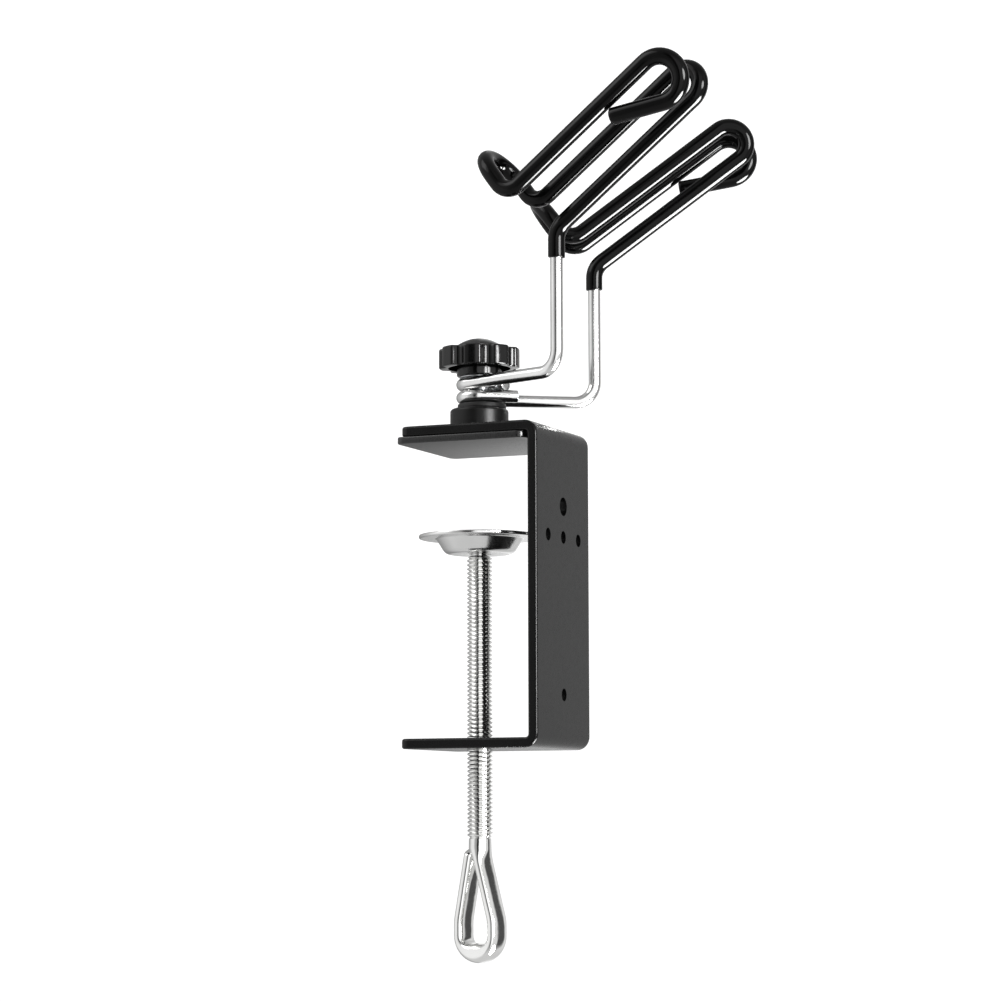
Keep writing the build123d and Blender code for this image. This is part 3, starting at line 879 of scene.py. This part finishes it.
# the backdrop: a flat floor, then an arc of WALL_FOOT up to a round wall
FLOOR_RADII = (0.00001, 0.4, 1.0)
WALL_RADIUS = 3.0
WALL_FOOT = 1.2
WALL_HEIGHT = 4.0
WALL_SEGMENTS = 96
BACKDROP_GLOW = 0.85
KEY_PLACE = Vector((-0.9, -0.5, 0.9))
KEY_SIZE = 0.8
KEY_POWER = 3
# brightness of the surroundings by direction, in degrees from +X towards +Y
PANELS = [
    (-180, 0.65), (-162, 0.95), (-132, 0.95), (-120, 0.45), (-100, 0.35), (-96, 0.02), (-79, 0.02),
    (-76, 1.30), (-38, 1.30), (-28, 0.85), (20, 0.80), (28, 0.08), (44, 0.08), (52, 0.80),
    (90, 0.60), (111, 1.10), (116.5, 0.25), (135, 0.30), (160, 0.50), (180, 0.60),
]
# the same for steep directions: where it starts, where it is complete, by height, and its level
STEEP = [(0.55, 0.85, 0.45), (-0.40, -0.75, 0.65)]
# soft boxes: direction, degrees from its middle to its edge, and brightness
SOFT_BOXES = [
    (Vector((0.905, -0.403, 0.139)), 15, 30.0),
    (Vector((0.625, 0.110, -0.770)), 20, 90.0),
    (Vector((-0.560, -0.560, 0.610)), 20, 1.2),
]


def add_camera():
    data = bpy.data.cameras.new("camera")
    data.sensor_width = 36.0
    data.lens = CAMERA_LENS
    data.clip_start, data.clip_end = 0.01, 20
    camera = bpy.data.objects.new("camera", data)
    turn = CAMERA_AIM.to_track_quat("-Z", "Y").to_matrix()
    turn = turn @ Matrix.Rotation(CAMERA_ROLL, 3, "Z")
    camera.matrix_world = Matrix.Translation(CAMERA_PLACE) @ turn.to_4x4()
    bpy.context.scene.collection.objects.link(camera)
    bpy.context.scene.camera = camera


def add_key_light(aim):
    data = bpy.data.lights.new("key", "AREA")
    data.shape = "RECTANGLE"
    data.size, data.size_y = KEY_SIZE, KEY_SIZE
    data.energy = KEY_POWER
    light = bpy.data.objects.new("key", data)
    light.location = aim + KEY_PLACE
    light.rotation_mode = "QUATERNION"
    light.rotation_quaternion = (aim - light.location).to_track_quat("-Z", "Y")
    light.visible_camera = False
    bpy.context.scene.collection.objects.link(light)


def add_backdrop(level):
    """A pale floor that curves up into a round wall, and isn't mirrored in the object."""
    arc = [math.pi / 2 * i / 12 for i in range(13)]
    profile = [(reach, 0.0) for reach in FLOOR_RADII]
    profile += [
        (WALL_RADIUS - WALL_FOOT * (1 - math.sin(a)), WALL_FOOT * (1 - math.cos(a))) for a in arc
    ]
    profile.append((WALL_RADIUS, WALL_HEIGHT))
    points = [Vector((reach, 0, level + rise)) for reach, rise in profile]
    rings = lathe_rings(points, WALL_SEGMENTS)
    verts, faces = skin(rings)
    data = bpy.data.meshes.new("backdrop")
    data.from_pydata(verts, [], faces)
    for polygon in data.polygons:
        polygon.use_smooth = True
    backdrop = bpy.data.objects.new("backdrop", data)
    bpy.context.scene.collection.objects.link(backdrop)
    material, tree, shader = new_material("pale_backdrop", specular=0.0)
    dark, light = (0.30, 0.30, 0.30), (0.32, 0.32, 0.32)
    tinted(tree, shader, spread(tree, noise(tree, 3), 0, 1), dark, light)
    shader.inputs["Roughness"].default_value = 0.9
    shader.inputs["Emission Color"].default_value = (1, 1, 1, 1)
    shader.inputs["Emission Strength"].default_value = BACKDROP_GLOW
    material.cycles.emission_sampling = "NONE"
    data.materials.append(material)
    backdrop.visible_glossy = False
    backdrop.visible_diffuse = False


def add_soft_box(tree, place, total, direction, spread_degrees, strength):
    """Adds a round bright area with a soft edge to the surroundings."""
    along = tree.nodes.new("ShaderNodeVectorMath")
    along.operation = "DOT_PRODUCT"
    along.inputs[1].default_value = direction.normalized()
    tree.links.new(place.outputs["Generated"], along.inputs[0])
    bright = tree.nodes.new("ShaderNodeMapRange")
    bright.interpolation_type = "SMOOTHSTEP"
    bright.inputs["From Min"].default_value = math.cos(math.radians(spread_degrees))
    bright.inputs["From Max"].default_value = math.cos(math.radians(spread_degrees * 0.8))
    bright.inputs["To Max"].default_value = strength
    tree.links.new(along.outputs["Value"], bright.inputs["Value"])
    add = tree.nodes.new("ShaderNodeVectorMath")
    add.operation = "ADD"
    tree.links.new(total, add.inputs[0])
    tree.links.new(bright.outputs["Result"], add.inputs[1])
    return add.outputs["Vector"]


def add_world():
    """What the shiny pieces reflect: a studio with light and dark panels all round."""
    world = bpy.data.worlds.new("studio")
    world.use_nodes = True
    tree = world.node_tree
    place = tree.nodes.new("ShaderNodeTexCoord")
    split = tree.nodes.new("ShaderNodeSeparateXYZ")
    tree.links.new(place.outputs["Generated"], split.inputs["Vector"])
    azimuth = tree.nodes.new("ShaderNodeMath")
    azimuth.operation = "ARCTAN2"
    tree.links.new(split.outputs["Y"], azimuth.inputs[0])
    tree.links.new(split.outputs["X"], azimuth.inputs[1])
    share = tree.nodes.new("ShaderNodeMapRange")
    share.inputs["From Min"].default_value = -math.pi
    share.inputs["From Max"].default_value = math.pi
    tree.links.new(azimuth.outputs["Value"], share.inputs["Value"])
    ramp = tree.nodes.new("ShaderNodeValToRGB")
    stops = ramp.color_ramp.elements
    stops.remove(stops[1])
    stops[0].color = (PANELS[0][1],) * 3 + (1,)
    for degrees, level in PANELS[1:]:
        stops.new((degrees + 180) / 360).color = (level, level, level, 1)
    tree.links.new(share.outputs["Result"], ramp.inputs["Fac"])
    total = ramp.outputs["Color"]
    for start, end, level in STEEP:
        steepness = tree.nodes.new("ShaderNodeMapRange")
        steepness.inputs["From Min"].default_value = start
        steepness.inputs["From Max"].default_value = end
        tree.links.new(split.outputs["Z"], steepness.inputs["Value"])
        mix = tree.nodes.new("ShaderNodeMix")
        mix.data_type = "RGBA"
        mix.inputs["B"].default_value = (level, level, level, 1)
        tree.links.new(steepness.outputs["Result"], mix.inputs["Factor"])
        tree.links.new(total, mix.inputs["A"])
        total = mix.outputs["Result"]
    for direction, spread_degrees, strength in SOFT_BOXES:
        total = add_soft_box(tree, place, total, direction, spread_degrees, strength)
    tree.links.new(total, tree.nodes["Background"].inputs["Color"])
    bpy.context.scene.world = world


def add_stage():
    low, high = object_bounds()
    add_backdrop(low.z - FLOOR_DROP)
    add_world()
    add_key_light((low + high) / 2)


wire_finish = plated_wire()
sleeve_finish = dip_vinyl()
steel = zinc_steel()
nickel = nickel_steel()
finish_cad_node("bracket", powder_coat())
finish_cad_node("bolt_nut", steel)
make_jaw_pad(pad_rubber())
make_collar(collar_finish())
make_washers(washer_rubber(), steel)
make_bolt(steel)
make_holders(wire_finish, sleeve_finish)
make_knob(knob_plastic())
make_insert(insert_brass())
make_clamp_screw(nickel)
make_pressure_pad(pressed_steel())

add_camera()
add_stage()
bpy.context.scene.view_settings.view_transform = "Standard"
